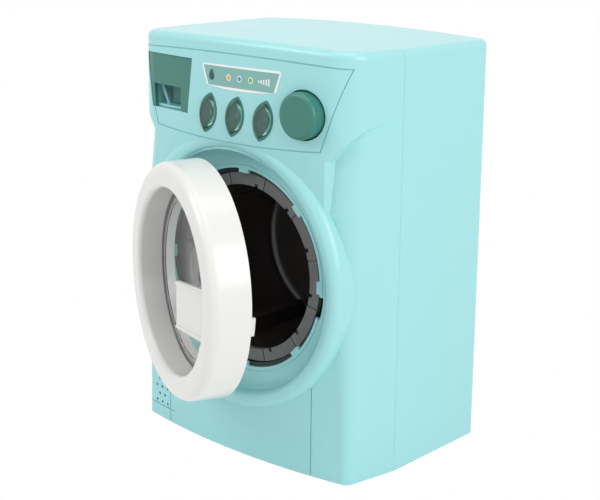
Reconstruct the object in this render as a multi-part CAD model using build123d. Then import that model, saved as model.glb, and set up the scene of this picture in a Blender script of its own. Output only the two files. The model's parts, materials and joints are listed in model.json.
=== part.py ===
from build123d import *
import os
from math import cos, pi, radians, sin

os.makedirs("parts", exist_ok=True)

# A toy washing machine at its real size, in millimetres and degrees.
# X runs to the right, the front faces -Y, Z is up. The origin is the centre of the base on the floor.
# The two mint shells meet at a seam on the sides. The door stands ajar, the drawer is shut.

# ---- driving dimensions: housing ----
height = 302.0              # floor to the crown of the top
top_crown = 3.0             # the top's sides are this much lower than its middle
width = 219.0               # across the seam and the back
front_width = 203.0         # across the two front corners
depth = 142.0               # front corners to the back wall
front_bow = 10.0            # the front's middle stands this far ahead of its corners
seam_depth = 42.0           # front corners to the seam between the shells
wall = 2.4                  # moulded wall of both shells
corner_low = 7.0            # front corner rounding at the floor
corner_high = 24.0          # and beside the control panel
rear_corner = 8.0           # rounding of the upright rear corners
top_edge = 5.0              # rounding round the top
shoulder_pinch = 4.5        # the front draws back this far beside the panel
shoulder_z = height - 59.0  # where it is drawn back most
chest_z = height - 112.0    # where the drawing back begins

# ---- driving dimensions: control panel and door ring ----
panel_proud = 3.5           # the panel stands ahead of the front by this
panel_shoulder_z = height - 22.0   # above this the panel is as wide as the housing
neck_z = height - 76.0      # the panel's slanted sides end here
neck_half = 86.0            # half the width of the panel's neck
panel_draft = 28.0          # slant of the panel's edge walls
groove_width = 0.9          # engraved lines
groove_depth = 0.8
panel_line_top = (99.0, height - 13.5)     # upper right corner of the engraved trapezium
panel_line_low = (79.0, height - 69.5)     # lower right corner
panel_line_sag = 3.0        # the lower line hangs this much at its middle
panel_line_rise = 3.0       # and the upper one rises this much
door_z = height - 166.0     # height of the door's and drum's axis
ring_radius = 101.0         # outside of the round bead about the door
ring_crest = 13.0           # the bead's crest is this far ahead of the front corners
bead_inner_edge = 4.0       # rounding of the bead towards the recess
bead_outer_edge = 7.5       # and towards the front
recess_radius = 88.0        # the door's recess
recess_floor = -70.0        # y of the recess's floor
recess_wall = 2.9           # its side wall, a little over the bead's
opening_radius = 73.0       # the loading opening
tab_reach = 3.0             # eight moulded tabs reach this far into the opening
tab_width = 9.0
lip_radius = 75.4           # a fine step round the opening

# ---- driving dimensions: door ----
door_radius = 84.0          # at its back edge
door_draft = 1.0            # smaller by this at its face
door_thickness = 28.0
door_bore = 65.0            # radius of the view through the door
door_wall = 2.2
door_edge = 7.0             # rounding of the face's outer edge
door_seat_gap = 0.3         # between the shut door and the recess's floor
door_ajar = 23.0            # how far it stands open
hinge_x = -88.0             # upright hinge axis, left of the door
hinge_y = -83.0
hinge_length = 25.0         # the door's knuckle
hinge_radius = 3.6
pin_radius = 1.5
ear_thickness = 5.0
window_thickness = 1.6
window_dome = 5.0           # the clear window bulges back by this

# ---- driving dimensions: handle ----
handle_z = door_z - 7.0
handle_height = 37.0
handle_reach = 34.0         # from the ring's bore towards the door's middle
handle_flare = 7.0          # its free edge stands this far ahead of its root
handle_thickness = 2.2
hook_angle = -11.0          # where the latch hook stands round the opening
hook_half_angle = 5.0
hook_length = 6.2           # behind the door
hook_radius = 73.6          # inside of its curved arm, clear of the drum's rim when it is pulled
hook_thickness = 1.4
hook_barb = 0.8             # its nose reaches outwards by this
catch_gap = 1.0             # between the nose and the opening's edge, which is cut back for it

# ---- driving dimensions: drum and drive ----
drum_radius = 69.4
drum_length = 92.0
drum_wall = 1.6
drum_taper = 3.0            # smaller by this at the back
drum_front_y = -66.0        # front face of the grey ring
drum_ring_thickness = 4.0
drum_mouth = 60.5           # radius of the way in
ring_segments = 12
lifter_count = 3
lifter_height = 9.0
lifter_first = 5.0          # angle of the first lifter
axle_radius = 3.0
gear_module = 1.5
gear_teeth = 40
pinion_teeth = 10
gear_thickness = 6.0
bracket_width = 58.0
run_gap = 0.3               # between curved faces that move past each other
pin_gap = 0.05              # round a pin in its hole

# ---- driving dimensions: panel fittings ----
drawer_top = (-94.5, -38.5, height - 18.0)   # x from, x to, z of the drawer mouth's top edge
drawer_low = (-86.0, -44.0, height - 56.7)   # and of its lower edge
drawer_gap = 0.5
drawer_length = 54.0
drawer_sink = 0.6           # the drawer's face lies this far inside the panel's
plate_thickness = 2.4
finger_top_z = height - 40.0       # top of the finger window in the drawer's face
finger_left = 5.0           # in from the face's left edge
finger_right_x = -52.0
knob_x = 65.5
knob_z = height - 46.0
knob_radius = 16.0
knob_proud = 8.0
knob_gap = 1.2
shaft_radius = 3.0
lens_x = (-21.0, 5.5, 31.5)
lens_z = height - 53.7
lens_width = 17.5
lens_length = 30.0
lens_lean = 14.0
lens_rim = 1.4              # width of the green rim
lens_proud = 2.6
label_top = (-27.0, 48.0, height - 19.0)
label_low = (-22.0, 43.0, height - 34.5)
label_thickness = 0.3
board_y = -57.0             # front face of the control board
board_thickness = 1.6
board_x = (-35.5, 92.0)
board_low_z = height - 71.0
board_high_z = height - 24.0
board_post_spots = (
    (-31.0, height - 31.0), (-32.0, height - 67.0), (50.0, height - 67.0), (86.0, height - 30.0),
)
board_post_radius = 2.6
chip_width = 16.0
chip_height = 10.0
chip_thickness = 3.0

# ---- driving dimensions: speaker, battery box, fastenings ----
speaker_x = -83.0
speaker_z = 22.0
speaker_radius = 13.0
speaker_hole = 1.2
speaker_pitch = 7.0
kick_half = 72.0            # upright lines either side of the kick plate
kick_shelf_z = 10.0         # a level line under the speaker's holes
case_screw_x = 101.0
case_screw_z = (10.0, 150.0, height - 14.0)
boss_radius = 4.6
screw_radius = 1.5
screw_head_radius = 2.9
screw_length = 16.0
cell_length = 50.5          # three AA cells side by side
cell_radius = 7.25
cell_count = 3
cell_gap = 1.0
battery_z = 48.0
switch_x = 66.0
switch_z = 48.0
switch_travel = 4.0

# ---- worked out from them ----
front_y = -depth / 2
back_y = depth / 2
seam_y = front_y + seam_depth
crest_y = front_y - ring_crest
seam_gap = 0.2
hinge_axis = Axis((hinge_x, hinge_y, 0), (0, 0, 1))
door_back = recess_floor - door_seat_gap
door_face = door_back - door_thickness
far = 400.0                 # past everything


# ---- shared helpers ----
def save(name, shape):
    """Writes one node; several solids become one group."""
    solids = shape.solids() if not isinstance(shape, list) else [s for one in shape for s in one.solids()]
    export_step(Compound(children=list(solids)), f"parts/{name}.step")


def upright(face, y_front, y_rear):
    """A face drawn in X and Z, standing from y_front back to y_rear."""
    plane = Plane((0, y_rear, 0), x_dir=(1, 0, 0), z_dir=(0, -1, 0))
    return extrude(plane * face, amount=y_rear - y_front)


def polygon(*points):
    return make_face(Polyline(*points, close=True))


def turned(face, x=0.0, z=door_z):
    """A profile of (radius, y), turned about the line along Y through x and z."""
    return revolve(Pos(x, 0, z) * face, axis=Axis((x, 0, z), (0, 1, 0)))


def ring(r_in, r_out, y_front, y_rear, x=0.0, z=door_z):
    """A tube or, with r_in of 0, a disc, along Y."""
    face = Circle(r_out) if r_in <= 0 else Circle(r_out) - Circle(r_in)
    return upright(Pos(x, z) * face, y_front, y_rear)


def bar(radius, y_front, y_rear, x, z, sides=8):
    """A many-sided bar along Y, for small fastenings."""
    return upright(Pos(x, z) * RegularPolygon(radius, sides), y_front, y_rear)


def block(x0, x1, y0, y1, z0, z1):
    return Pos((x0 + x1) / 2, (y0 + y1) / 2, (z0 + z1) / 2) * Box(x1 - x0, y1 - y0, z1 - z0)


def bow_y(x, forward=0.0):
    """y of the front's bowed face at x."""
    half = front_width / 2
    radius = (half * half + front_bow * front_bow) / (2 * front_bow)
    centre = front_y - forward - front_bow + radius
    return centre - (radius * radius - x * x) ** 0.5


def plan(corner_y, corner_radius, inset=0.0, rear=seam_y):
    """The front shell in plan: tapering sides, rounded corners and a bowed front."""
    half_rear, half_front = width / 2 - inset, front_width / 2 - inset
    y = corner_y + inset
    edges = [
        Line((half_rear, rear), (half_front, y)),
        ThreePointArc((half_front, y), (0, y - front_bow), (-half_front, y)),
        Line((-half_front, y), (-half_rear, rear)),
        Line((-half_rear, rear), (half_rear, rear)),
    ]
    face = make_face(Curve() + edges)
    return fillet(face.vertices().sort_by(Axis.Y)[:2], corner_radius - inset)


def crowned(inset, y0, y1, half=width / 2 + 1):
    """Everything between the floor and the crowned top, less the inset."""
    side = height - top_crown - inset
    edges = [
        Line((-half, inset), (half, inset)),
        Line((half, inset), (half, side)),
        ThreePointArc((half, side), (0, height - inset), (-half, side)),
        Line((-half, side), (-half, inset)),
    ]
    return upright(make_face(Curve() + edges), y0, y1)


# ---- housing ----
def front_body(inset, rear):
    """The front shell's main form: straight below, drawn back beside the panel."""
    lean = corner_low + (corner_high - corner_low) * chest_z / height
    levels = [
        (0.0, front_y, corner_low),
        (chest_z, front_y, lean),
        (shoulder_z, front_y + shoulder_pinch, corner_high),
        (height + 5, front_y + shoulder_pinch, corner_high),
    ]
    faces = [Pos(0, 0, z) * plan(y, r, inset, rear) for z, y, r in levels]
    return loft(faces, ruled=True) & crowned(inset, -far, rear)


def panel_face(inset, rear=seam_y):
    """What lies behind the panel's bowed face."""
    return extrude(plan(front_y - panel_proud, corner_high, inset, rear), amount=height + 5)


def panel_body(inset, rear):
    """The raised control panel with its slanted shoulders and its neck."""
    slope = (width / 2 + 20 - neck_half) / (panel_shoulder_z - neck_z)
    wide = width / 2 + 20 - inset
    neck = neck_half - inset
    face = polygon(
        (-neck, door_z), (neck, door_z), (neck, neck_z + inset), (wide, panel_shoulder_z + inset * slope / 2),
        (wide, far), (-wide, far), (-wide, panel_shoulder_z + inset * slope / 2), (-neck, neck_z + inset),
    )
    plane = Plane((0, rear, 0), x_dir=(1, 0, 0), z_dir=(0, -1, 0))
    lead = rear - front_y + shoulder_pinch - 4
    straight = extrude(plane * face, amount=lead)
    top = Plane((0, rear - lead, 0), x_dir=(1, 0, 0), z_dir=(0, -1, 0))
    drafted = extrude(top * face, amount=panel_proud + front_bow + shoulder_pinch + 6, taper=panel_draft)
    return (straight + drafted) & panel_face(inset, rear) & crowned(inset, -far, rear)


def bead_body(inset):
    """The round bead about the door's recess."""
    r_in, r_out = recess_radius + inset, ring_radius - inset
    rear = recess_floor + 8
    face = polygon((r_in, rear), (r_in, crest_y + inset), (r_out, crest_y + inset), (r_out, rear))
    tips = face.vertices().sort_by(Axis.Y)[:2].sort_by(Axis.X)
    face = fillet(tips[0], bead_inner_edge - 0.6 * inset)
    tips = face.vertices().sort_by(Axis.X)[-2:].sort_by(Axis.Y)
    return turned(fillet(tips[0], bead_outer_edge - inset))


def opening_tabs():
    """Eight small tabs that centre the drum's seat ring."""
    tabs = []
    for step in range(8):
        reach = opening_radius - tab_reach
        tab = block(reach, opening_radius + 1, recess_floor, recess_floor + wall,
                    -tab_width / 2, tab_width / 2)
        tabs.append(Pos(0, 0, door_z) * Rot(0, 45 * step, 0) * tab)
    return tabs


def trapezium(top, low, grow=0.0):
    """A face with a level top and foot and slanted sides, grown all round."""
    (x0, x1, z1), (x2, x3, z0) = top, low
    return polygon((x2 - grow, z0 - grow), (x3 + grow, z0 - grow),
                   (x1 + grow, z1 + grow), (x0 - grow, z1 + grow))


def engraved(face):
    """A shallow cut along the panel's bowed face."""
    return upright(face, -far, seam_y) - panel_face(groove_depth)


def panel_line():
    """The engraved outline of the control panel."""
    def outline(grow):
        (xt, zt), (xl, zl) = panel_line_top, panel_line_low
        xt, xl, zt, zl = xt + grow, xl + grow, zt + grow, zl - grow
        edges = [
            ThreePointArc((-xt, zt), (0, zt + panel_line_rise), (xt, zt)),
            Line((xt, zt), (xl, zl)),
            ThreePointArc((xl, zl), (0, zl - panel_line_sag), (-xl, zl)),
            Line((-xl, zl), (-xt, zt)),
        ]
        return make_face(Curve() + edges)
    return engraved(outline(groove_width / 2) - outline(-groove_width / 2))


def kick_lines():
    """Upright lines beside the kick plate and one level line under the speaker."""
    half, cut = groove_width / 2, []
    for x in (-kick_half, kick_half):
        top = door_z - (ring_radius ** 2 - kick_half ** 2) ** 0.5
        cut.append(block(x - half, x + half, -far, bow_y(x) + groove_depth, 0, top))
    left = -front_width / 2
    shelf = block(left - 5, -kick_half + 6, -far, seam_y, kick_shelf_z - half, kick_shelf_z + half)
    inner = extrude(plan(front_y, corner_low, groove_depth), amount=height)
    return cut + [shelf - inner]


def speaker_points():
    rows = [(0, 3), (1, 2), (2, 3), (3, 2)]
    points = []
    for row, count in rows:
        for step in range(count):
            x = speaker_x + (step - (count - 1) / 2) * speaker_pitch
            points.append((x, speaker_z + (row - 1.5) * speaker_pitch * 0.87))
    return points


def almond(width_, length, grow=0.0):
    """A pointed oval, leaning to the right."""
    half_w, half_l = width_ / 2 + grow, length / 2 + grow * 1.6
    edges = [
        ThreePointArc((0, half_l), (half_w, 0), (0, -half_l)),
        ThreePointArc((0, -half_l), (-half_w, 0), (0, half_l)),
    ]
    return Rot(0, 0, -lens_lean) * make_face(Curve() + edges)


def case_posts():
    return [(side * case_screw_x, z) for side in (-1, 1) for z in case_screw_z]


def hinge_ears():
    """Two ears that hold the hinge pin, and the block they grow from."""
    half = hinge_length / 2 + run_gap
    root = block(-ring_radius, -recess_radius + 2, crest_y + wall / 2, recess_floor + wall / 2,
                 -half - ear_thickness, half + ear_thickness)
    ears = []
    for low in (-half - ear_thickness, half):
        ear = Pos(hinge_x, hinge_y, low + ear_thickness / 2) * Cylinder(hinge_radius, ear_thickness)
        foot = block(hinge_x - hinge_radius, hinge_x + hinge_radius, hinge_y, recess_floor, low,
                     low + ear_thickness)
        ears += [ear, foot]
    pocket = Pos(hinge_x, hinge_y, 0) * Cylinder(hinge_radius + 0.8, 2 * half)
    way = block(hinge_x - hinge_radius - 0.8, -recess_radius + 12, crest_y - 20, hinge_y, -half, half)
    inner = block(hinge_x, -recess_radius + 12, hinge_y, hinge_y + hinge_radius + 0.8, -half, half)
    hole = Pos(hinge_x, hinge_y, 0) * Cylinder(pin_radius + pin_gap, 2 * (half + ear_thickness + 1))
    place = Pos(0, 0, door_z)
    cuts = [place * cut for cut in (pocket, way, inner)]
    return place * root, [place * ear for ear in ears], cuts, place * hole


def front_shell():
    open_rear = seam_y - seam_gap
    # front and panel end inside the bead, so that the bead's inner rounding stays whole
    room = ring(0, recess_radius + bead_inner_edge + 0.7, -far, crest_y + 7)
    shell = (front_body(0, open_rear) - room) + (panel_body(0, open_rear) - room) + bead_body(0)
    rim = shell.edges().filter_by(lambda e: e.center().Z > height - top_crown - 2).filter_by(
        lambda e: e.center().Y < open_rear - 1)
    shell = fillet(rim, top_edge)
    past = open_rear + 1
    shell -= front_body(wall, past) + panel_body(wall, past) + bead_body(wall)
    within = front_body(wall / 2, open_rear) + panel_body(wall / 2, open_rear)
    skin = within + bead_body(wall / 2)
    cup = ring(opening_radius, recess_radius + recess_wall, recess_floor - 6, recess_floor + wall)
    # the recess's side wall reaches forward into the skin, whichever form is foremost there
    cup += ring(opening_radius, recess_radius + recess_wall, -far, recess_floor - 5) & skin
    root, ears, pockets, pin_hole = hinge_ears()
    root &= skin + ring(0, recess_radius + recess_wall, -far, seam_y)
    shell = shell + cup + root
    soft = 5.0
    recess = polygon((0, -far), (recess_radius, -far), (recess_radius, recess_floor), (0, recess_floor))
    recess = fillet(recess.vertices().sort_by(Axis.X)[-2:].sort_by(Axis.Y)[-1], soft)
    shell -= turned(recess)
    shell += ears
    shell -= pockets
    shell -= pin_hole
    shell -= ring(0, opening_radius, -far, seam_y)
    shell += opening_tabs()
    lip = ring(lip_radius, lip_radius + 0.7, recess_floor - 1, recess_floor + 0.5)
    shell -= lip
    # the notch that the latch hook enters
    shell -= hook_sector(0, hook_reach() + catch_gap, recess_floor - 1, recess_floor + wall + 1,
                         hook_half_angle + 1.2)
    # the drawer's chute
    mouth = trapezium(drawer_top, drawer_low, drawer_gap)
    chute_rear = front_y + drawer_length - 8
    chute = upright(trapezium(drawer_top, drawer_low, drawer_gap + 1.6), -far, chute_rear)
    shell += chute & panel_face(wall / 2)
    shell -= upright(mouth, -far, chute_rear + 1)
    # the knob's well
    well_y = bow_y(knob_x, panel_proud) + 7
    well = ring(0, knob_radius + knob_gap + 1.6, -far, well_y + 1.6, knob_x, knob_z) & panel_face(wall / 2)
    shell += well
    shell -= ring(0, knob_radius + knob_gap, -far, well_y, knob_x, knob_z)
    shell -= ring(0, shaft_radius + run_gap, -far, seam_y, knob_x, knob_z)
    # lamp windows
    for x in lens_x:
        shell -= upright(Pos(x, lens_z) * almond(lens_width, lens_length), -far, front_y)
    # bosses for the case screws, the board and the speaker
    for x, z in case_posts():
        post = ring(0, boss_radius, -far, open_rear, x, z) & within
        shell += post
        shell -= ring(0, screw_radius + pin_gap, open_rear - 14, seam_y, x, z)
    for x, z in board_post_spots:
        post = ring(0, board_post_radius, -far, board_y, x, z) & panel_face(wall / 2)
        shell += post
        shell -= ring(0, 1.0, board_y - 7, board_y, x, z)
    collar = ring(speaker_radius + 0.2, speaker_radius + 1.8, -far, speaker_y() + 5, speaker_x, speaker_z)
    shell += collar & within
    for x, z in speaker_points():
        shell -= ring(0, speaker_hole, -far, front_y + 4, x, z)
    shell -= panel_line()
    shell -= kick_lines()
    return shell


def speaker_y():
    """y of the speaker's front rim, just behind the bowed front wall."""
    return bow_y(speaker_x - speaker_radius) + wall + 1.5


def rear_body(inset):
    half = width / 2 - inset
    front = seam_y if inset == 0 else seam_y - 1
    face = polygon((-half, front), (half, front), (half, back_y - inset), (-half, back_y - inset))
    face = fillet(face.vertices().sort_by(Axis.Y)[-2:], rear_corner - inset)
    return extrude(face, amount=height + 5) & crowned(inset, front, back_y)


def battery_width():
    return cell_count * 2 * cell_radius + (cell_count + 1) * cell_gap


battery_depth = 2 * cell_radius + 3.0
battery_length = cell_length + 7.0
cover_thickness = 2.0
cover_ledge = 3.0


def battery_rect(grow=0.0):
    """x and z limits of the battery box's inside; the cells lie across the machine."""
    half_x, half_z = battery_length / 2 + grow, battery_width() / 2 + grow
    return -half_x, half_x, battery_z - half_z, battery_z + half_z


def rear_shell():
    shell = rear_body(0)
    rim = shell.edges().filter_by(lambda e: e.center().Z > height - top_crown - 2).filter_by(
        lambda e: e.center().Y > seam_y + 1)
    shell = fillet(rim, top_edge)
    shell -= rear_body(wall)
    # tubes for the case screws, open at the back
    for x, z in case_posts():
        shell += ring(0, boss_radius, seam_y, back_y - wall / 2, x, z)
        shell -= ring(0, screw_head_radius + 0.5, seam_y + 5, back_y + 1, x, z)
        shell -= ring(0, screw_radius + 0.2, seam_y - 1, seam_y + 6, x, z)
    # the boss that holds the drum's axle, with four webs
    boss_front = drum_boss_y()
    for turn in (45, 135, 225, 315):
        web = Rot(0, turn, 0) * block(axle_radius, 22, boss_front + 8, back_y - wall, -1, 1)
        shell += Pos(0, 0, door_z) * web
    shell += ring(0, 8.0, boss_front, back_y - wall / 2)
    shell -= ring(0, axle_radius + pin_gap, boss_front - 1, back_y - 8)
    # posts for the motor's bracket
    for x in (-24, 24):
        shell += ring(0, 4.0, bracket_y() + bracket_thickness, back_y - wall / 2, x, motor_z())
        shell -= ring(0, 1.0, bracket_y(), back_y - 8, x, motor_z())
    # the battery box's frame and the switch's slot
    x0, x1, z0, z1 = battery_rect(cover_ledge)
    shell -= block(x0 - run_gap, x1 + run_gap, back_y - wall - 1, back_y + 1, z0 - run_gap, z1 + run_gap)
    shell -= block(switch_x - 3.0, switch_x + 3.0, back_y - wall - 1, back_y + 1,
                   switch_z - switch_travel / 2 - 3.4, switch_z + switch_travel / 2 + 3.4)
    for x in (-9.5, 9.5):
        shell += ring(0, 2.2, back_y - 9, back_y - wall / 2, switch_x, switch_z + x)
        shell -= ring(0, 0.9, back_y - 10, back_y - 3, switch_x, switch_z + x)
    return shell


def case_screws():
    screws = []
    for x, z in case_posts():
        tip = seam_y - screw_length + 5
        screw = bar(screw_radius, tip, seam_y + 5, x, z)
        head = bar(screw_head_radius, seam_y + 5, seam_y + 7.4, x, z)
        slot = block(x - 0.5, x + 0.5, seam_y + 6.4, seam_y + 8, z - 2, z + 2)
        cross = block(x - 2, x + 2, seam_y + 6.4, seam_y + 8, z - 0.5, z + 0.5)
        screws.append(screw + head - slot - cross)
    return screws


# ---- panel fittings ----
def follow(face, front, rear):
    """A piece of the panel's bowed surface, between two depths behind its face."""
    outer = upright(face, -far, seam_y) & panel_face(front)
    return outer - panel_face(rear)


def label():
    """The curved, tapering sticker, left plain."""
    (x0, x1, z1), (x2, x3, z0) = label_top, label_low
    edges = [
        Line((x0, z1), (x1, z1 + 0.6)),
        Line((x1, z1 + 0.6), (x3, z0 + 0.8)),
        ThreePointArc((x3, z0 + 0.8), ((x2 + x3) / 2, z0 - 1.2), (x2, z0 + 0.6)),
        Line((x2, z0 + 0.6), (x0, z1)),
    ]
    face = make_face(Curve() + edges)
    face = fillet(face.vertices(), 2.0)
    return follow(face, -label_thickness, 0)


def lens_frames():
    rims = []
    for x in lens_x:
        face = almond(lens_width, lens_length, -0.1) - almond(lens_width, lens_length, -lens_rim)
        rims.append(follow(Pos(x, lens_z) * face, -0.5, wall + 2.0))
    return rims


def lenses():
    domes = []
    for x in lens_x:
        y = bow_y(x, panel_proud)
        face = Pos(x, lens_z) * almond(lens_width, lens_length, -lens_rim - 0.1)
        dome = upright(face, y - lens_proud, y + 3)
        face = dome.faces().sort_by(Axis.Y)[0]
        domes.append(fillet(face.edges(), 2.2))
    return domes


def reflectors():
    """Grey cups behind the lenses that catch the lamps' light."""
    cups = []
    for x in lens_x:
        y = bow_y(x, panel_proud) + 3
        cup = upright(Pos(x, lens_z) * almond(lens_width, lens_length, -lens_rim - 0.1), y, y + 8)
        hollow = upright(Pos(x, lens_z) * almond(lens_width, lens_length, -lens_rim - 1.3), y - 1, y + 6.8)
        cups.append(cup - hollow - ring(0, 2.6, y, y + 9, x, lens_z))
    return cups


def lamps():
    """Three light-emitting diodes on the board."""
    leds = []
    for x in lens_x:
        tip = bow_y(x, panel_proud) + 5
        base = bar(2.9, board_y - 1, board_y, x, lens_z, 12)
        stem = bar(2.4, tip + 2.4, board_y, x, lens_z, 12)
        top = bar(2.4, tip, tip + 2.4, x, lens_z, 12)
        top = chamfer(top.faces().sort_by(Axis.Y)[0].edges(), 1.2)
        leds.append(base + stem + top)
    return leds


def control_board():
    board = block(*board_x, board_y, board_y + board_thickness, board_low_z, board_high_z)
    for x, z in board_post_spots:
        board -= ring(0, 1.2, board_y - 1, board_y + 5, x, z)
    board -= ring(0, shaft_radius + 1, board_y - 1, board_y + 5, knob_x, knob_z)
    rear = board_y + board_thickness
    chip_top = board_high_z - 6
    chip = block(-4, chip_width - 4, rear, rear + chip_thickness, chip_top - chip_height, chip_top)
    return board + chip


def board_screws():
    screws = []
    for x, z in board_post_spots:
        rear = board_y + board_thickness
        screws.append(bar(0.95, rear - 7, rear, x, z) + bar(2.3, rear, rear + 1.6, x, z))
    return screws


def rotary_switch():
    """The selector switch that the knob's shaft turns in."""
    body = block(knob_x - 11, knob_x + 11, board_y - 7, board_y, knob_z - 11, knob_z + 11)
    neck = ring(0, 5.5, board_y - 9, board_y - 7, knob_x, knob_z)
    return body + neck - ring(0, shaft_radius + pin_gap, board_y - 12, board_y + 1, knob_x, knob_z)


def knob_cap():
    face_y = bow_y(knob_x, panel_proud) - knob_proud
    skirt = bow_y(knob_x, panel_proud) + 6.0
    cap = ring(0, knob_radius, face_y, skirt, knob_x, knob_z)
    front = cap.faces().sort_by(Axis.Y)[0]
    cap = fillet(front.edges(), 3.0)
    cap -= ring(5.5, knob_radius - 2.2, face_y + 3, skirt + 1, knob_x, knob_z)
    return cap - ring(0, shaft_radius + pin_gap, face_y + 4, skirt + 1, knob_x, knob_z)


def knob_shaft():
    face_y = bow_y(knob_x, panel_proud) - knob_proud
    return ring(0, shaft_radius, face_y + 4.2, board_y - 0.5, knob_x, knob_z)


# ---- drawer ----
def drawer_front():
    """The green face: its upper half and right leg lie flush, the rest is a finger window."""
    face = trapezium(drawer_top, drawer_low)
    x0, z1, x2, z0 = drawer_top[0], drawer_top[2], drawer_low[0], drawer_low[2]
    left = x2 + (x0 - x2) * (finger_top_z - z0) / (z1 - z0) + finger_left
    window = polygon((x2 + finger_left * 0.6, z0 - 1), (finger_right_x, z0 - 1),
                     (finger_right_x, finger_top_z), (left, finger_top_z))
    plate = follow(face - window, drawer_sink, drawer_sink + plate_thickness)
    # a wall set back behind the window, carried by the leg and the upper half
    back = 11.0
    y = bow_y((x0 + finger_right_x) / 2, panel_proud) + back
    hub = block(x2 + 12, finger_right_x + 2, y, y + 1.6, z0 + 2.2, finger_top_z + 4)
    shelf = block(x2 + 12, finger_right_x + 2, bow_y(-60, panel_proud), y + 1.6, finger_top_z + 0.4,
                  finger_top_z + 2)
    cheek = block(finger_right_x + 0.4, finger_right_x + 2, bow_y(-60, panel_proud), y + 1.6, z0 + 2.2,
                  finger_top_z + 2)
    inside = panel_face(drawer_sink + 0.5)
    return plate + ((hub + shelf + cheek) & inside)


def drawer_tray():
    """The mint box that slides in the chute."""
    (x0, x1, z1), (x2, x3, z0) = drawer_top, drawer_low
    y0 = bow_y((x0 + x2) / 2, panel_proud)
    y1 = front_y + drawer_length
    low = z1 - 9
    slant = (low - z0) / (z1 - z0)
    top = (x2 + (x0 - x2) * slant, x3 + (x1 - x3) * slant, low)
    outer = upright(trapezium(top, drawer_low), y0, y1) & panel_face(drawer_sink + plate_thickness)
    inside = trapezium((top[0] + 1.6, top[1] - 1.6, low + 2), (x2 + 1.6, x3 - 1.6, z0 + 1.6))
    tray = outer - upright(inside, y0 - 1, y1 - 1.6)
    # the slanted rib in the finger space and the wall behind it
    rib = upright(polygon((x2 + 1, finger_top_z - 2), (x2 + 4, finger_top_z - 2), (x2 + 11, z0 + 1),
                          (x2 + 8, z0 + 1)), y0 + 6.4, y0 + 13.4)
    wall_y = y0 + 17.4
    cross = upright(trapezium(top, drawer_low, -0.8), wall_y, wall_y + 1.6)
    return tray + rib + cross


# ---- door ----
def ajar(shape):
    """The shut door's pieces, turned about the hinge to where they stand."""
    return shape.rotate(hinge_axis, -door_ajar)


def door_ring():
    """The white outer moulding: rim, face and bore in one hollow ring, with the hinge's knuckle."""
    face_r = door_radius - door_draft
    outer = polygon((door_bore, door_face), (face_r, door_face), (door_radius, door_back),
                    (door_radius - 12, door_back), (door_bore + 1.5, door_back))
    corner = outer.vertices().sort_by(Axis.Y)[:2].sort_by(Axis.X)
    outer = fillet(corner[1], door_edge)
    corner = outer.vertices().sort_by(Axis.Y)[:3].sort_by(Axis.X)
    outer = fillet(corner[0], 3.5)
    body = turned(outer)
    groove = polygon(
        (door_bore + door_wall, door_face + 7), (face_r - door_wall - 4, door_face + door_wall + 1),
        (door_radius - door_wall, door_back - 14), (door_radius - door_wall, door_back + 1),
        (door_bore + door_wall, door_back + 1),
    )
    body -= turned(groove)
    # the bore's wall stops short of the window
    body -= ring(0, door_bore + door_wall + 1, window_y(), door_back + 1)
    knuckle = Pos(hinge_x, hinge_y, door_z) * Cylinder(hinge_radius, hinge_length)
    web = block(hinge_x, -door_radius + 5, hinge_y - hinge_radius, hinge_y + hinge_radius,
                door_z - hinge_length / 2, door_z + hinge_length / 2)
    web -= ring(0, door_radius - 1.2, -far, seam_y)
    body += knuckle + web
    body -= Pos(hinge_x, hinge_y, door_z) * Cylinder(pin_radius + pin_gap, hinge_length + 2)
    body += handle_lugs()
    body -= handle_way()
    return body - Pos(handle_pivot_x, handle_pivot_y, handle_z) * Cylinder(handle_pin_radius + pin_gap,
                                                                         handle_pin_length + 0.2)


def window_y():
    """y of the window flange's front."""
    return door_back - 9.0


def handle_way():
    """Room for the handle's arm through the ring, and for its swing."""
    half = handle_slot_half()
    slot = block(door_bore - 8, handle_pivot_x - 0.4, handle_root_y() - 1.2, door_back + 1, -half, half)
    space = block(door_bore - 8, hook_reach() + 0.6, handle_pivot_y - 4, door_back + 1, -half, half)
    # the bore's lip is cut back where the paddle swings past it
    lip = block(door_bore - 8, door_bore - 0.5, door_face - 1, handle_pivot_y, -half, half)
    return [Pos(0, 0, handle_z) * room for room in (slot, space, lip)]


def handle_slot_half():
    return handle_height / 2 + 0.8


def handle_root_y():
    return door_face + 3.0


def handle_lugs():
    """Two lugs in the hollow ring that hold the ends of the handle's pin."""
    half, reach = handle_slot_half(), handle_pin_length / 2
    lugs = []
    for low, high in ((-reach - 1, -half), (half, reach + 1)):
        lug = block(handle_pivot_x - 4, handle_pivot_x + 3.2, handle_pivot_y - 4, handle_pivot_y + 3.2,
                    low, high)
        lugs.append(Pos(0, 0, handle_z) * lug)
    return lugs


def door_back_ring():
    """The white closing ring behind the window, screwed into the outer moulding."""
    front = window_y() + window_thickness
    disc = ring(door_bore - 4, door_radius - door_wall - 0.2, door_back - 2.0, door_back)
    seat = ring(door_bore - 4, door_bore - 2, front, door_back - 2.0)
    plate = disc + seat
    half = handle_slot_half()
    cut = block(door_bore - 1.5, hook_reach() + 0.6, front - 1, door_back + 1, -half, half)
    plate -= Pos(0, 0, handle_z) * cut
    for x, z in map(door_spot, door_screw_angles()):
        plate -= ring(0, 1.3, door_back - 5, door_back + 1, x, z)
        plate -= ring(0, 2.5, door_back - 1.0, door_back + 1, x, z)
    return plate


def door_screw_angles():
    return (45, 135, 225, 315)


def door_spot(turn):
    """x and z of a screw, halfway across the hollow ring."""
    reach = (door_bore + door_radius) / 2
    return reach * cos(radians(turn)), door_z + reach * sin(radians(turn))


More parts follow.
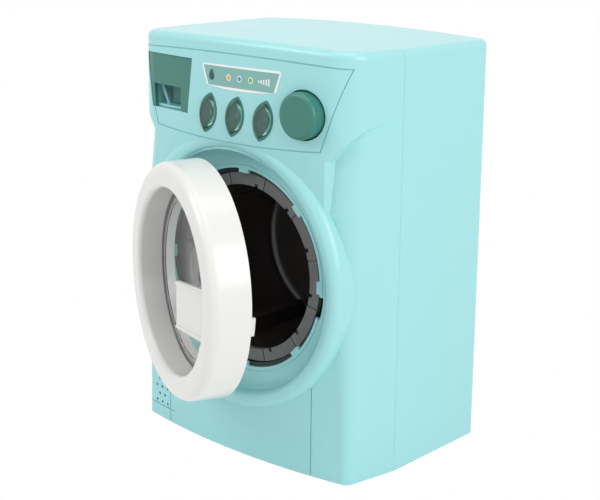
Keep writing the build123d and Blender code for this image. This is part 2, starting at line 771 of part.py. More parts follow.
def door_posts():
    """Screw posts inside the hollow ring."""
    posts = []
    for x, z in map(door_spot, door_screw_angles()):
        post = ring(0, 3.2, door_face + 5, door_back - 2.0, x, z)
        posts.append(post - ring(0, 1.0, door_back - 14, door_back, x, z))
    return posts


def door_screws():
    screws = []
    for x, z in map(door_spot, door_screw_angles()):
        shank = bar(0.95, door_back - 12, door_back - 1, x, z)
        screws.append(shank + bar(2.3, door_back - 1, door_back, x, z))
    return screws


def door_window():
    """A clear dish: a flat flange and a shallow dome towards the drum."""
    y = window_y()
    flange = ring(door_bore - 6, door_bore + door_wall, y, y + window_thickness)
    base = door_bore - 6
    radius = (base * base + window_dome * window_dome) / (2 * window_dome)
    edges = [
        Line((0, y + window_dome), (0, y + window_dome + window_thickness)),
        RadiusArc((0, y + window_dome + window_thickness), (base, y + window_thickness), radius),
        Line((base, y + window_thickness), (base, y)),
        RadiusArc((base, y), (0, y + window_dome), -radius),
    ]
    dish = turned(make_face(Curve() + edges))
    pane = flange + dish
    half = handle_slot_half()
    notch = block(door_bore - 1.0, door_bore + 10, y - 1, y + 9, -half, half)
    return pane - Pos(0, 0, handle_z) * notch


def hinge_pin():
    reach = hinge_length / 2 + run_gap + ear_thickness
    return Pos(hinge_x, hinge_y, door_z) * Cylinder(pin_radius, 2 * reach)


# ---- handle ----
handle_pivot_x = door_bore + 4.5
handle_pivot_y = door_face + 9.0
handle_pin_radius = 1.2
handle_pin_length = handle_height + 9.0
handle_barrel = handle_height - 4.0


def hook_reach():
    """Radius of the hook's nose."""
    return hook_radius + hook_thickness + hook_barb


def hook_sector(r_in, r_out, y_front, y_rear, half_angle):
    """A curved wall round the door's axis, about the hook's angle."""
    wedge = polygon((0, 0), (120 * cos(radians(half_angle)), -120 * sin(radians(half_angle))),
                    (120 * cos(radians(half_angle)), 120 * sin(radians(half_angle))))
    wedge = Pos(0, door_z) * Rot(0, 0, hook_angle) * wedge
    return ring(r_in, r_out, y_front, y_rear) & upright(wedge, y_front, y_rear)


def door_handle():
    """A flared paddle inside the ring's bore, its arm and the latch hook behind the door."""
    half = handle_height / 2
    root_x, tip_x = door_bore - 1.5, door_bore - 1.5 - handle_reach
    root_y = handle_root_y()
    tip_y = root_y - handle_flare
    t = handle_thickness
    profile = polygon((tip_x, tip_y), (root_x, root_y), (root_x + 4, root_y), (root_x + 4, root_y + 10),
                      (root_x + 1, root_y + 10), (root_x + 1, root_y + t), (root_x, root_y + t),
                      (tip_x, tip_y + t))
    paddle = Pos(0, 0, handle_z - half) * extrude(profile, amount=handle_height)
    taper = upright(polygon((tip_x - 1, handle_z - half + 2), (root_x + 5, handle_z - half),
                            (root_x + 5, handle_z + half), (tip_x - 1, handle_z + half - 2)), -far, seam_y)
    paddle &= taper
    # ridges along the upper and lower edges
    for sign in (-1, 1):
        z = handle_z + sign * (half - 3.4)
        ridge = polygon((tip_x, tip_y - 0.8), (root_x, root_y - 0.8), (root_x, root_y), (tip_x, tip_y))
        paddle += Pos(0, 0, z - 0.8) * extrude(ridge, amount=1.6)
    barrel = Pos(handle_pivot_x, handle_pivot_y, handle_z) * Cylinder(3.0, handle_barrel)
    bridge = block(root_x + 1, handle_pivot_x, handle_pivot_y - 1.5, handle_pivot_y + 1.5,
                   handle_z - half + 2, handle_z + half - 2)
    # a curved arm runs back outside the drum's rim and ends in a nose
    hook_end = door_back + hook_length
    arm = hook_sector(hook_radius, hook_radius + hook_thickness, handle_pivot_y + 1, hook_end,
                      hook_half_angle)
    barb = hook_sector(hook_radius, hook_reach(), recess_floor + wall + 0.4, hook_end, hook_half_angle)
    stay = hook_sector(handle_pivot_x - 1, hook_radius + hook_thickness, handle_pivot_y - 1,
                       handle_pivot_y + 2, hook_half_angle)
    body = paddle + barrel + bridge + arm + barb + stay
    return body - Pos(handle_pivot_x, handle_pivot_y, handle_z) * Cylinder(handle_pin_radius + pin_gap, 60)


def handle_pin():
    return Pos(handle_pivot_x, handle_pivot_y, handle_z) * Cylinder(handle_pin_radius, handle_pin_length)


def handle_spring():
    """The coil of the torsion spring that brings the handle back, round the pin under the barrel."""
    wire, turns, spare = 0.36, 3, 0.25
    room = handle_slot_half() - handle_barrel / 2
    pitch = (room - wire - 2 * spare) / turns
    coil = Helix(pitch, pitch * turns, handle_pin_radius + wire / 2 + 0.2)
    body = sweep(Plane(coil @ 0, z_dir=coil % 0) * Rectangle(wire, wire), path=coil, is_frenet=True)
    return Pos(handle_pivot_x, handle_pivot_y, handle_z - handle_slot_half() + wire / 2 + spare) * body


# ---- drum and drive ----
def drum_back_y():
    return drum_front_y + drum_ring_thickness + drum_length


def drum_boss_y():
    return drum_back_y() + gear_thickness + 12


def motor_z():
    return door_z + gear_module * (gear_teeth + pinion_teeth) / 2


bracket_thickness = 2.5


def bracket_y():
    return drum_back_y() + gear_thickness + 8


def seat_ring():
    """The dark ring behind the opening that the drum's rim turns in."""
    front = recess_floor + wall
    flange = ring(drum_radius + run_gap + 0.3, opening_radius + 9, front, front + 2)
    tube = ring(opening_radius + 1.5, opening_radius + 3.5, front + 2, front + 14)
    notch = hook_sector(0, hook_reach() + catch_gap + 1.5, -far, seam_y, hook_half_angle + 1.6)
    return flange + tube - notch


def drum_ring():
    """The drum's grey front ring, in segments with small notches."""
    rear = drum_front_y + drum_ring_thickness
    body = ring(drum_mouth, drum_radius, drum_front_y, rear)
    for step in range(ring_segments):
        line = block(drum_mouth - 1, drum_radius + 1, drum_front_y - 1, drum_front_y + 0.8, -0.5, 0.5)
        notch = block(drum_mouth - 1, drum_mouth + 2.2, drum_front_y - 1, rear + 1, 6, 9)
        turn = Pos(0, 0, door_z) * Rot(0, 360 / ring_segments * step + 15, 0)
        body -= [turn * line, turn * notch]
    return body


def drum_shell():
    front, back = drum_front_y + drum_ring_thickness, drum_back_y()
    r_front, r_back = drum_radius - 0.4, drum_radius - 0.4 - drum_taper
    soft = 8.0
    outer = polygon((0, front), (r_front, front), (r_back, back), (0, back))
    outer = fillet(outer.vertices().sort_by(Axis.X)[-2:].sort_by(Axis.Y)[-1], soft)
    w = drum_wall
    inner = polygon((0, front - 1), (r_front - w, front - 1), (r_back - w, back - w), (0, back - w))
    inner = fillet(inner.vertices().sort_by(Axis.X)[-2:].sort_by(Axis.Y)[-1], soft - w)
    cup = turned(outer) - turned(inner)
    return cup - ring(0, axle_radius + pin_gap, back - 5, back + 1)


def drum_lifters():
    """Wedge-shaped paddles along the drum's wall."""
    front, back = drum_front_y + drum_ring_thickness, drum_back_y()
    lifters = []
    for step in range(lifter_count):
        foot = drum_radius - 0.4 - drum_wall - drum_taper - 0.4
        face = polygon((-6, foot), (6, foot), (2.2, foot - lifter_height), (-2.2, foot - lifter_height))
        bar = upright(face, front + 2, back - drum_wall - 8)
        turn = Pos(0, 0, door_z) * Rot(0, 90 - lifter_first - 360 / lifter_count * step, 0)
        lifters.append(turn * bar)
    return lifters


def gear_face(teeth, phase):
    """Straight-sided teeth with backlash, as on a moulded toy gear."""
    pitch_radius = gear_module * teeth / 2
    pitch = 2 * pi / teeth
    levels = [(pitch_radius - 1.25 * gear_module, 0.34), (pitch_radius + 0.85 * gear_module, 0.11)]
    points = []
    for tooth in range(teeth):
        middle = radians(phase) + tooth * pitch
        flank = [(r, middle - share * pitch) for r, share in levels]
        flank += [(r, middle + share * pitch) for r, share in reversed(levels)]
        points += [(r * cos(a), r * sin(a)) for r, a in flank]
    return make_face(Polyline(*points, close=True))


def drum_gear():
    """The gear and hub on the drum's back."""
    front = drum_back_y()
    face = Pos(0, door_z) * gear_face(gear_teeth, 90)
    body = upright(face, front + 4, front + 4 + gear_thickness)
    body += ring(0, 20, front, front + 4)
    body += ring(0, 7, front + 4, drum_boss_y() - 0.6)
    return body - ring(0, axle_radius + pin_gap, front - 1, drum_boss_y())


def drum_axle():
    """A steel pin in the rear shell's boss, with a head inside the drum."""
    front = drum_back_y() - drum_wall
    return ring(0, axle_radius, front - 0.5, back_y - 9) + ring(0, 6.5, front - 2.5, front - 0.5)


def motor_pinion():
    front = drum_back_y() + 4
    face = Pos(0, motor_z()) * gear_face(pinion_teeth, 0)
    body = upright(face, front, front + gear_thickness)
    return body - ring(0, 1.0, front - 1, front + gear_thickness + 1, 0, motor_z())


def motor_shaft():
    front = drum_back_y() + 4
    return ring(0, 0.98, front, bracket_y() + 10, 0, motor_z())


def motor():
    """A small flat-sided motor."""
    front = bracket_y() + bracket_thickness
    can = ring(0, 10.0, front, front + 19, 0, motor_z())
    can &= block(-10, 10, front, front + 19, motor_z() - 7.6, motor_z() + 7.6)
    nose = ring(0, 3.0, front - 2.2, front, 0, motor_z())
    lugs = block(-6, -4.6, front + 19, front + 21, motor_z() - 1.5, motor_z() + 1.5)
    lugs += block(4.6, 6, front + 19, front + 21, motor_z() - 1.5, motor_z() + 1.5)
    return can + nose + lugs - ring(0, 1.3, front - 3, front + 14, 0, motor_z())


def motor_bracket():
    z, y = motor_z(), bracket_y()
    half = bracket_width / 2
    plate = block(-half, half, y, y + bracket_thickness, z - 9, z + 9)
    plate = fillet(plate.edges().filter_by(Axis.Y), 4)
    cheeks = block(-12.4, 12.4, y + bracket_thickness, y + bracket_thickness + 14, z - 9, z - 7.8)
    cheeks += block(-12.4, 12.4, y + bracket_thickness, y + bracket_thickness + 14, z + 7.8, z + 9)
    plate += cheeks
    plate -= ring(0, 3.1, y - 1, y + 9, 0, z)
    for x in (-24, 24):
        plate -= ring(0, 1.2, y - 1, y + 9, x, z)
    return plate


def bracket_screws():
    z, y = motor_z(), bracket_y()
    return [bar(0.95, y, y + 9, x, z) + bar(2.4, y - 1.6, y, x, z) for x in (-24, 24)]


# ---- speaker, battery box, switch ----
def speaker():
    y = speaker_y()
    rim = speaker_radius - 1.5
    section = polygon((0, y + 4), (rim, y + 0.8), (rim, y), (speaker_radius, y), (speaker_radius, y + 2),
                      (7, y + 6), (7, y + 10), (0, y + 10))
    return turned(section, speaker_x, speaker_z)


def speaker_clamp():
    """A ring that holds the speaker in its collar."""
    y = speaker_y() + 5
    return ring(speaker_radius - 3.5, speaker_radius + 3, y, y + 1.6, speaker_x, speaker_z)


def battery_box():
    x0, x1, z0, z1 = battery_rect()
    floor_y = back_y - cover_thickness - battery_depth
    lip = battery_rect(cover_ledge)
    box = block(x0 - 1.6, x1 + 1.6, floor_y - 1.6, back_y - wall, z0 - 1.6, z1 + 1.6)
    box += block(lip[0] - 3, lip[1] + 3, back_y - wall - 2, back_y - wall, lip[2] - 3, lip[3] + 3)
    box -= block(x0, x1, floor_y, back_y + 1, z0, z1)
    for step in range(1, cell_count):
        z = z0 + cell_gap / 2 + step * (2 * cell_radius + cell_gap)
        box += block(x0, x1, floor_y, floor_y + 4.5, z - 0.5, z + 0.5)
    return box


def contact_rows():
    z0 = battery_rect()[2]
    return [z0 + cell_gap + cell_radius + step * (2 * cell_radius + cell_gap) for step in range(cell_count)]


def battery_contacts():
    """Plates at both ends of each cell, and a conical coil on the negative ones."""
    x0, x1 = battery_rect()[:2]
    y = back_y - cover_thickness - battery_depth / 2
    pieces = []
    for step, z in enumerate(contact_rows()):
        for end, x in ((-1, x0), (1, x1)):
            edge = x if end < 0 else x - 0.5
            plate = block(edge, edge + 0.5, y - 5, y + 5, z - 5.5, z + 5.5)
            bump = extrude(RegularPolygon(2.2, 8), amount=0.6, both=True)
            bump = Pos(x - end * 1.0, y, z) * Rot(0, 90, 0) * bump
            coil_end = (-1) ** step
            if end == coil_end:
                coil = loft([RegularPolygon(4.4, 8), Pos(0, 0, 4.4) * RegularPolygon(2.4, 8)], ruled=True)
                coil = Pos(x - end * 0.4, y, z) * Rot(0, -90 * end, 0) * coil
                pieces.append(plate + coil)
            else:
                pieces.append(plate + bump)
    return pieces


def battery_cover():
    x0, x1, z0, z1 = battery_rect(cover_ledge)
    cover = block(x0, x1, back_y - cover_thickness, back_y, z0, z1)
    cover = fillet(cover.edges().filter_by(Axis.Y), 2.0)
    for step in range(4):
        z = battery_z - 9 + step * 6
        cover -= block(-12, 12, back_y - 0.6, back_y + 1, z - 0.8, z + 0.8)
    cover -= ring(0, 1.3, back_y - 9, back_y + 1, 0, z1 - 1.0 - cover_ledge / 2)
    return cover


def battery_screw():
    z1 = battery_rect(cover_ledge)[3]
    z = z1 - 1.0 - cover_ledge / 2
    return bar(1.2, back_y - 1.5, back_y, 0, z) + bar(2.4, back_y, back_y + 1.0, 0, z)


def power_switch():
    """The slide switch's case, screwed to two posts inside the back."""
    y = back_y - 9
    case = block(switch_x - 4, switch_x + 4, y - 6, y, switch_z - 12, switch_z + 12)
    case -= block(switch_x - 2.4, switch_x + 2.4, y - 3, y + 1, switch_z - switch_travel / 2 - 2.6,
                  switch_z + switch_travel / 2 + 2.6)
    return case


def switch_slider():
    """The part the finger pushes, shown at the lower end of its travel."""
    y = back_y - 9
    z = switch_z - switch_travel / 2
    stem = block(switch_x - 2.1, switch_x + 2.1, y - 2.7, back_y + 1.2, z - 2.3, z + 2.3)
    for step in (-1, 0, 1):
        line = z + step * 1.4
        stem -= block(switch_x - 3, switch_x + 3, back_y + 0.7, back_y + 2, line - 0.3, line + 0.3)
    return stem


# ---- write every node ----
door = door_ring()
door = door + door_posts()
nodes = {
    "front_shell": front_shell(),
    "rear_shell": rear_shell(),
    "case_screws": case_screws(),
    "panel_label": label(),
    "lens_frames": lens_frames(),
    "lamp_lenses": lenses(),
    "lamp_reflectors": reflectors(),
    "indicator_lamps": lamps(),
    "control_board": control_board(),
    "board_screws": board_screws(),
    "rotary_switch": rotary_switch(),
    "knob_cap": knob_cap(),
    "knob_shaft": knob_shaft(),
    "drawer_front": drawer_front(),
    "drawer_tray": drawer_tray(),
    "door_ring": ajar(door),
    "door_back_ring": ajar(door_back_ring()),
    "door_window": ajar(door_window()),
    "door_screws": [ajar(screw) for screw in door_screws()],
    "hinge_pin": hinge_pin(),
    "door_handle": ajar(door_handle()),
    "handle_pin": ajar(handle_pin()),
    "handle_spring": ajar(handle_spring()),
    "drum_seat_ring": seat_ring(),
    "drum_front_ring": drum_ring(),
    "drum_shell": drum_shell(),
    "drum_lifters": drum_lifters(),
    "drum_gear": drum_gear(),
    "drum_axle": drum_axle(),
    "motor_pinion": motor_pinion(),
    "motor_shaft": motor_shaft(),
    "motor": motor(),
    "motor_bracket": motor_bracket(),
    "bracket_screws": bracket_screws(),
    "speaker": speaker(),
    "speaker_clamp": speaker_clamp(),
    "battery_box": battery_box(),
    "battery_contacts": battery_contacts(),
    "battery_cover": battery_cover(),
    "battery_screw": battery_screw(),
    "power_switch": power_switch(),
    "switch_slider": switch_slider(),
}
for name, shape in nodes.items():
    save(name, shape)
print(len(nodes), "nodes")
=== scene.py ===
import json
import math

import bpy
from mathutils import Matrix, Vector


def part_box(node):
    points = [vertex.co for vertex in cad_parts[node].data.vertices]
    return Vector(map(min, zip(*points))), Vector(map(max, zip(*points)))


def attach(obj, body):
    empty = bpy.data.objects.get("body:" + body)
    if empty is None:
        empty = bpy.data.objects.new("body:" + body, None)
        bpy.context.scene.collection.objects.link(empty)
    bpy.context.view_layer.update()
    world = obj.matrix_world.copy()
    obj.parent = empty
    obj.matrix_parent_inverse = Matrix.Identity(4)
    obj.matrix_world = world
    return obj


mm = 0.001

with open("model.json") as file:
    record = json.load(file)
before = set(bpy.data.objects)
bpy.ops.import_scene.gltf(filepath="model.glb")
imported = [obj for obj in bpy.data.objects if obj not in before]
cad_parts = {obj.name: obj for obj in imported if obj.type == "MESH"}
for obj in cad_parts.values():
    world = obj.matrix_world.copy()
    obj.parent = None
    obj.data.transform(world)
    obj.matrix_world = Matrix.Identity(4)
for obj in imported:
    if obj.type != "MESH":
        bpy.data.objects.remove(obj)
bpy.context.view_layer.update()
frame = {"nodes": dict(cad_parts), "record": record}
nodes = frame["nodes"]
print("frame loaded:", len(nodes), "nodes")


def linear(hexColour):
    channels = [int(hexColour[i:i + 2], 16) / 255 for i in (1, 3, 5)]
    return [c / 12.92 if c <= 0.04045 else ((c + 0.055) / 1.055) ** 2.4 for c in channels] + [1.0]


def addNode(tree, kind, settings=None, links=None):
    # settings go to the node's inputs by name, or to its properties; links are (input, source socket)
    node = tree.nodes.new(kind)
    for key, value in (settings or {}).items():
        if key in node.inputs:
            node.inputs[key].default_value = value
        else:
            setattr(node, key, value)
    for key, source in (links or {}).items():
        tree.links.new(source, node.inputs[key])
    return node


def material(name, hexColour, **sockets):
    made = bpy.data.materials.new(name)
    made.use_nodes = True
    tree = made.node_tree
    shader = tree.nodes["Principled BSDF"]
    shader.inputs["Base Color"].default_value = linear(hexColour)
    for key, value in sockets.items():
        shader.inputs[key.replace("_", " ")].default_value = value
    return made


def mouldedWaves(made, wavelength, depth):
    # the faint unevenness of a large injection-moulded wall, which bends its reflections
    tree = made.node_tree
    place = addNode(tree, "ShaderNodeTexCoord")
    noise = addNode(tree, "ShaderNodeTexNoise", {"Scale": 1 / wavelength, "Detail": 1.0},
                    {"Vector": place.outputs["Object"]})
    bump = addNode(tree, "ShaderNodeBump", {"Strength": 1.0, "Distance": depth},
                   {"Height": noise.outputs["Fac"]})
    tree.links.new(bump.outputs["Normal"], tree.nodes["Principled BSDF"].inputs["Normal"])
    return made


# ABS (acrylonitrile butadiene styrene), injection moulded in a polished tool: even pale colour,
# soft clear highlights
mintAbs = mouldedWaves(material("moulded mint ABS", "#A0DCDE", Roughness=0.26, IOR=1.53), 0.045, 0.00006)
# the same plastic with a sea green pigment, moulded in a finely blasted tool, so its highlights
# spread a little
greenAbs = material("moulded green ABS", "#357A6D", Roughness=0.3, IOR=1.53)
# the same plastic, white with a touch of yellow, from a mirror polished tool: the sharpest
# highlights of the shells
whiteAbs = mouldedWaves(material("moulded white ABS", "#E6E5E2", Roughness=0.2, IOR=1.53), 0.03, 0.00003)
# grey pigmented ABS from a blasted tool: a broad dull sheen
greyAbs = material("moulded grey ABS", "#6B6B6B", Roughness=0.38, IOR=1.53)
# very dark green ABS of the ring behind the opening: reads as a shadow with a faint edge
darkAbs = material("moulded dark green ABS", "#1D2624", Roughness=0.35, IOR=1.53)
# carbon black ABS of the motor mount, speaker and switches: dark, with a soft sheen
blackAbs = material("moulded black ABS", "#17181A", Roughness=0.32, IOR=1.53)
# smoke tinted polystyrene, clear grade moulded glossy: near black with sharp small highlights
smokyStyrene = material("moulded smoky polystyrene", "#3A3331", Roughness=0.16, IOR=1.59)
# crystal clear polystyrene, moulded thin: seen only by its rim and its reflections
clearStyrene = material("clear moulded polystyrene", "#FBFDFD", Roughness=0.02, IOR=1.5,
                        Transmission_Weight=1.0)
# clear polystyrene of the lamp lenses, with a breath of the green frame in it
lensStyrene = material("clear lens polystyrene", "#7DB9AC", Roughness=0.03, IOR=1.5, Transmission_Weight=0.85)
# ABS of the lamp reflectors, metallised thinly: a satin grey that lifts towards white
reflectorAbs = material("satin metallised ABS", "#64817B", Roughness=0.35, IOR=1.53)
# natural acetal (polyoxymethylene) of gears and shafts: waxy and creamy white
gearAcetal = material("moulded acetal", "#E6E3D8", Roughness=0.4, IOR=1.48)
# small screws and pins, steel with a bright zinc coat: cool grey metal
screwSteel = material("zinc-plated steel", "#B9BCC0", Roughness=0.3, Metallic=1.0)
# the motor's drawn steel can, nickel plated: a slightly warmer, smoother metal
motorSteel = material("nickel-plated steel", "#A9ABAD", Roughness=0.25, Metallic=1.0)
# the circuit board, paper pressed in phenolic resin: dull mid brown
boardLaminate = material("brown paper laminate", "#7A5A2E", Roughness=0.55)
# cast epoxy body of the small lamps, filled to diffuse: milky white
diodeEpoxy = material("diffused white epoxy", "#E9EEF0", Roughness=0.3, IOR=1.5)
# polypropylene film of the label, gloss laminated: white border
stickerWhite = material("white gloss film", "#F0F3F2", Roughness=0.24)
# ink of the label's field, printed under the same gloss: pale muted teal
stickerTeal = material("printed pale teal film", "#7FB3AC", Roughness=0.24)
# ink of the drop: dark blue green
stickerDark = material("printed dark film", "#2F4F50", Roughness=0.24)
# ink of the first seal: warm amber
stickerSun = material("printed amber film", "#E0B24A", Roughness=0.24)
# ink of the second seal: mid blue
stickerSea = material("printed blue film", "#5B93C4", Roughness=0.24)
# ink of the third seal: leaf green
stickerLeaf = material("printed leaf film", "#7DB06A", Roughness=0.24)

finishes = {
    "mint_shell": mintAbs, "green_plastic": greenAbs, "white_plastic": whiteAbs, "clear_window": clearStyrene,
    "clear_lens": lensStyrene, "smoky_drum": smokyStyrene, "grey_plastic": greyAbs, "dark_green": darkAbs,
    "reflector": reflectorAbs, "label": stickerWhite, "gear_plastic": gearAcetal, "black_plastic": blackAbs,
    "board": boardLaminate, "lamp": diodeEpoxy, "steel": screwSteel, "motor_steel": motorSteel,
}
for part in frame["record"]["subparts"]:
    mesh = nodes[part["node"]].data
    mesh.materials.clear()
    mesh.materials.append(finishes[part["material_slot"]])
print("finishes given to", len(nodes), "nodes")


# the label's print: a calm generic design on the bare sticker
label = {
    "margin": 1.2 * mm,         # white edge left round the printed field
    "lift": 0.06 * mm,          # print stands ahead of the film by this
    "film": 0.05 * mm,          # thickness of one printed layer
    "second": 2.2, "third": 3.4,    # lifts of the layers printed over the field
    "fieldLow": 1.6, "fieldHigh": 1.4,   # margins under and over the field, in edge margins
    "fieldSlant": 5.0 * mm,     # the field's lower edge is drawn in by this at each end
    "fieldRows": (0.0, 0.33, 0.67, 1.0),
    "dropTip": 0.9, "dropDown": 0.6 * mm, "dropRound": 0.8, "sealCore": 0.72,
    "columns": 24,              # pieces across, so that the print follows the bow
    "dropAt": 0.13, "dropSize": 3.4 * mm,
    "sealsAt": (0.36, 0.5, 0.64), "sealSize": 2.3 * mm,
    "barsFrom": 0.74, "barsTo": 0.86, "barCount": 5, "barWidth": 1.1 * mm,
    "barLow": 1.6 * mm, "barRise": 0.8 * mm,
}
labelLow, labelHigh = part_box("panel_label")
labelWidth, labelHeight = labelHigh.x - labelLow.x, labelHigh.z - labelLow.z


def frontOf(node, x, z, lift):
    # the nearest surface of a node to someone in front of it at x and z
    shape = nodes[node]
    hit, place, _, _ = shape.ray_cast(Vector((x, -1.0, z)), Vector((0, 1, 0)))
    return Vector((x, place.y - lift, z)) if hit else None


def printed(name, rows, filling, lift):
    # rows is a grid of (x, z) places, laid on the label as one thin printed skin
    points = [frontOf("panel_label", x, z, lift) for row in rows for x, z in row]
    count = len(rows[0])
    faces = []
    for r in range(len(rows) - 1):
        for c in range(count - 1):
            corners = (r * count + c, r * count + c + 1, (r + 1) * count + c + 1, (r + 1) * count + c)
            if all(points[k] for k in corners):
                faces.append(corners)
    used = sorted({k for face in faces for k in face})
    place = {k: n for n, k in enumerate(used)}
    mesh = bpy.data.meshes.new(name)
    mesh.from_pydata([points[k] for k in used], [], [[place[k] for k in face] for face in faces])
    mesh.materials.append(filling)
    piece = bpy.data.objects.new(name, mesh)
    bpy.context.scene.collection.objects.link(piece)
    thick = piece.modifiers.new("film", "SOLIDIFY")
    thick.thickness = label["film"]
    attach(piece, "housing")
    return piece


def across(share):
    return labelLow.x + labelWidth * share


def disc(centreX, centreZ, radius, tip=0.0, around=20, rings=2):
    # a filled round in a grid of rings; tip draws its top out into a drop
    rows = []
    for r in range(rings + 1):
        row = []
        for k in range(around + 1):
            turn = 2 * math.pi * k / around
            reach = radius * r / rings
            lift = tip * reach * max(0.0, math.sin(turn)) ** 4
            row.append((centreX + reach * math.cos(turn), centreZ + reach * math.sin(turn) + lift))
        rows.append(row)
    return rows


def labelField():
    edge = label["margin"]
    rows = []
    for share in label["fieldRows"]:
        row = []
        for c in range(label["columns"] + 1):
            s = c / label["columns"]
            inset = (1 - share) * label["fieldSlant"] + edge
            x = labelLow.x + inset + (labelWidth - 2 * inset) * s
            tall = labelHeight - edge * (label["fieldLow"] + label["fieldHigh"])
            row.append((x, labelLow.z + edge * label["fieldLow"] + tall * share))
        rows.append(row)
    return rows


midZ = labelLow.z + labelHeight * 0.5
printed("label_field", labelField(), stickerTeal, label["lift"])
printed("label_drop",
        disc(across(label["dropAt"]), midZ - label["dropDown"], label["dropSize"] * label["dropRound"],
             label["dropTip"]),
        stickerDark, label["lift"] * label["second"])
for share, colour in zip(label["sealsAt"], (stickerSun, stickerSea, stickerLeaf)):
    seal = f"label_seal_{round(share * 100)}"
    printed(seal, disc(across(share), midZ, label["sealSize"]), stickerWhite,
            label["lift"] * label["second"])
    printed(f"{seal}_centre", disc(across(share), midZ, label["sealSize"] * label["sealCore"]), colour,
            label["lift"] * label["third"])


# the level bars repeat, so a small node tree lays them out
def barRow(count, pitch, width, low, rise, filling):
    tree = bpy.data.node_groups.new("level bars", "GeometryNodeTree")
    for name, kind in (("Count", "NodeSocketInt"), ("Pitch", "NodeSocketFloat"), ("Width", "NodeSocketFloat"),
                       ("Low", "NodeSocketFloat"), ("Rise", "NodeSocketFloat")):
        tree.interface.new_socket(name, in_out="INPUT", socket_type=kind)
    tree.interface.new_socket("Geometry", in_out="OUTPUT", socket_type="NodeSocketGeometry")
    given = addNode(tree, "NodeGroupInput").outputs
    step = addNode(tree, "ShaderNodeCombineXYZ", None, {"X": given["Pitch"]})
    line = addNode(tree, "GeometryNodeMeshLine", None, {"Count": given["Count"], "Offset": step.outputs[0]})
    index = addNode(tree, "GeometryNodeInputIndex")
    tall = addNode(tree, "ShaderNodeMath", {"operation": "MULTIPLY_ADD"})
    tree.links.new(index.outputs[0], tall.inputs[0])
    tree.links.new(given["Rise"], tall.inputs[1])
    tree.links.new(given["Low"], tall.inputs[2])
    size = addNode(tree, "ShaderNodeCombineXYZ", {"Y": 1.0}, {"X": given["Width"], "Z": tall.outputs[0]})
    grid = addNode(tree, "GeometryNodeMeshGrid",
                   {"Size X": 1.0, "Size Y": 1.0, "Vertices X": 3, "Vertices Y": 3})
    stand = addNode(tree, "GeometryNodeTransform", {"Rotation": (math.pi / 2, 0, 0)},
                    {"Geometry": grid.outputs["Mesh"]})
    bars = addNode(tree, "GeometryNodeInstanceOnPoints", None,
                   {"Points": line.outputs[0], "Instance": stand.outputs[0], "Scale": size.outputs[0]})
    real = addNode(tree, "GeometryNodeRealizeInstances", None, {"Geometry": bars.outputs[0]})
    dressed = addNode(tree, "GeometryNodeSetMaterial", {"Material": filling}, {"Geometry": real.outputs[0]})
    addNode(tree, "NodeGroupOutput", None, {"Geometry": dressed.outputs[0]})
    holder = bpy.data.objects.new("level_bars", bpy.data.meshes.new("level_bars"))
    bpy.context.scene.collection.objects.link(holder)
    use = holder.modifiers.new("bars", "NODES")
    use.node_group = tree
    values = {"Count": count, "Pitch": pitch, "Width": width, "Low": low, "Rise": rise}
    for item in tree.interface.items_tree:
        if item.in_out == "INPUT":
            use[item.identifier] = values[item.name]
    bpy.context.view_layer.update()
    made = bpy.data.meshes.new_from_object(holder.evaluated_get(bpy.context.evaluated_depsgraph_get()))
    holder.modifiers.clear()
    holder.data = made
    return holder


pitch = (label["barsTo"] - label["barsFrom"]) * labelWidth / (label["barCount"] - 1)
bars = barRow(label["barCount"], pitch, label["barWidth"], label["barLow"], label["barRise"], stickerWhite)
for vertex in bars.data.vertices:
    x, z = across(label["barsFrom"]) + vertex.co.x, midZ + vertex.co.z
    vertex.co = frontOf("panel_label", x, z, label["lift"] * label["second"])
thick = bars.modifiers.new("film", "SOLIDIFY")
thick.thickness = label["film"]
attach(bars, "housing")
print("label printed")

studio = {
    # name, place, height aimed at, side of the square and power in watts
    "softboxes": (
        ("left softbox", (-1.1, -1.5, 1.5), 0.15, 1.1, 13),
        ("right softbox", (1.9, -0.3, 1.0), 0.15, 1.3, 17),
        ("top softbox", (0.1, -0.2, 2.1), 0.2, 1.4, 10),
    ),
    "floorSize": 6.0, "floorColour": "#F6F6F6",
    "worldLight": 0.55,         # what the pale surroundings give the object
}


def lookedAt(tree, seen):
    # 1 for rays from the camera, straight, mirrored or through clear plastic, so that the whiteness
    # that the picture shows lights nothing
    value = seen.outputs["Is Camera Ray"]
    for name in ("Is Glossy Ray", "Is Transmission Ray"):
        larger = addNode(tree, "ShaderNodeMath", {"operation": "MAXIMUM"})
        tree.links.new(value, larger.inputs[0])
        tree.links.new(seen.outputs[name], larger.inputs[1])
        value = larger.outputs[0]
    return value


def floorSheet():
    mesh = bpy.data.meshes.new("studio floor")
    half = studio["floorSize"] / 2
    corners = [(-half, -half, 0), (half, -half, 0), (half, half, 0), (-half, half, 0)]
    mesh.from_pydata(corners, [], [(0, 1, 2, 3)])
    sheet = material("matt white paper", studio["floorColour"], Roughness=0.9)
    tree = sheet.node_tree
    shader = tree.nodes["Principled BSDF"]
    seen = addNode(tree, "ShaderNodeLightPath")
    white = addNode(tree, "ShaderNodeEmission", {"Color": (1, 1, 1, 1), "Strength": 1.0})
    pick = addNode(tree, "ShaderNodeMixShader", None, {"Fac": lookedAt(tree, seen)})
    tree.links.new(shader.outputs[0], pick.inputs[1])
    tree.links.new(white.outputs[0], pick.inputs[2])
    tree.links.new(pick.outputs[0], tree.nodes["Material Output"].inputs["Surface"])
    mesh.materials.append(sheet)
    floor = bpy.data.objects.new("studio floor", mesh)
    bpy.context.scene.collection.objects.link(floor)


def softbox(name, place, target, width, depth, power):
    light = bpy.data.lights.new(name, "AREA")
    light.shape = "RECTANGLE"
    light.size, light.size_y, light.energy = width, depth, power
    lamp = bpy.data.objects.new(name, light)
    lamp.location = place
    lamp.rotation_euler = (Vector(target) - Vector(place)).to_track_quat("-Z", "Y").to_euler()
    bpy.context.scene.collection.objects.link(lamp)


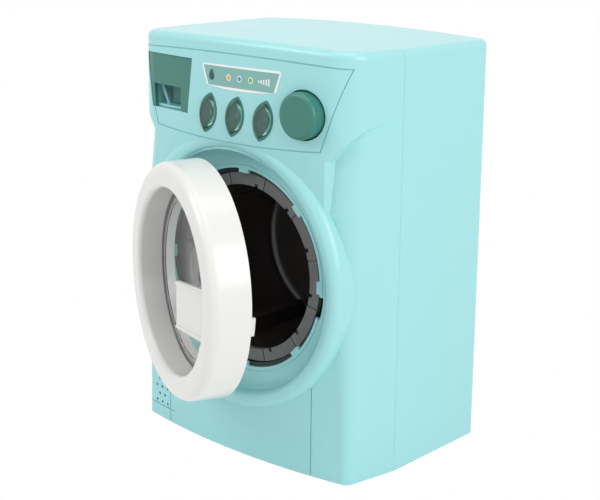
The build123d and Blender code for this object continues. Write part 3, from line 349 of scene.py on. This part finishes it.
def surroundings():
    world = bpy.data.worlds.new("studio")
    bpy.context.scene.world = world
    world.use_nodes = True
    tree = world.node_tree
    tree.nodes.clear()
    seen = addNode(tree, "ShaderNodeLightPath")
    giving = addNode(tree, "ShaderNodeBackground", {"Color": (1, 1, 1, 1), "Strength": studio["worldLight"]})
    shown = addNode(tree, "ShaderNodeBackground", {"Color": (1, 1, 1, 1), "Strength": 1.0})
    pick = addNode(tree, "ShaderNodeMixShader", None, {"Fac": lookedAt(tree, seen)})
    tree.links.new(giving.outputs[0], pick.inputs[1])
    tree.links.new(shown.outputs[0], pick.inputs[2])
    addNode(tree, "ShaderNodeOutputWorld", None, {"Surface": pick.outputs[0]})


floorSheet()
surroundings()
for name, place, aimHeight, side, power in studio["softboxes"]:
    softbox(name, place, (0, 0, aimHeight), side, side, power)

# the camera stands at the photograph's viewing angle
shot = {
    "azimuth": 41.33, "elevation": 12.69, "roll": 0.786,   # degrees, seen from the front right and above
    "distance": 0.99848, "aimX": 0.00617, "aimZ": 0.1832,
    "focal": 1339.96,           # in pixels of a 600 x 500 picture
    "centreX": 315.23, "centreY": 190.0,
    "pictureWidth": 600, "pictureHeight": 500, "sensor": 36.0,
}


def makeCamera():
    az, el, roll = (math.radians(shot[k]) for k in ("azimuth", "elevation", "roll"))
    back = Vector((math.sin(az) * math.cos(el), -math.cos(az) * math.cos(el), math.sin(el)))
    right = Vector((math.cos(az), math.sin(az), 0))
    up = back.cross(right)
    turnedRight = math.cos(roll) * right + math.sin(roll) * up
    turnedUp = math.cos(roll) * up - math.sin(roll) * right
    lens = bpy.data.cameras.new("photo camera")
    lens.sensor_width = shot["sensor"]
    lens.lens = shot["focal"] * shot["sensor"] / shot["pictureWidth"]
    lens.shift_x = (shot["pictureWidth"] / 2 - shot["centreX"]) / shot["pictureWidth"]
    lens.shift_y = (shot["centreY"] - shot["pictureHeight"] / 2) / shot["pictureWidth"]
    camera = bpy.data.objects.new("photo camera", lens)
    place = Vector((shot["aimX"], 0, shot["aimZ"])) + back * shot["distance"]
    axes = Matrix((turnedRight, turnedUp, back)).transposed().to_4x4()
    camera.matrix_world = Matrix.Translation(place) @ axes
    bpy.context.scene.collection.objects.link(camera)
    bpy.context.scene.camera = camera


makeCamera()
bpy.context.scene.view_settings.view_transform = "Standard"
print("studio and camera ready")
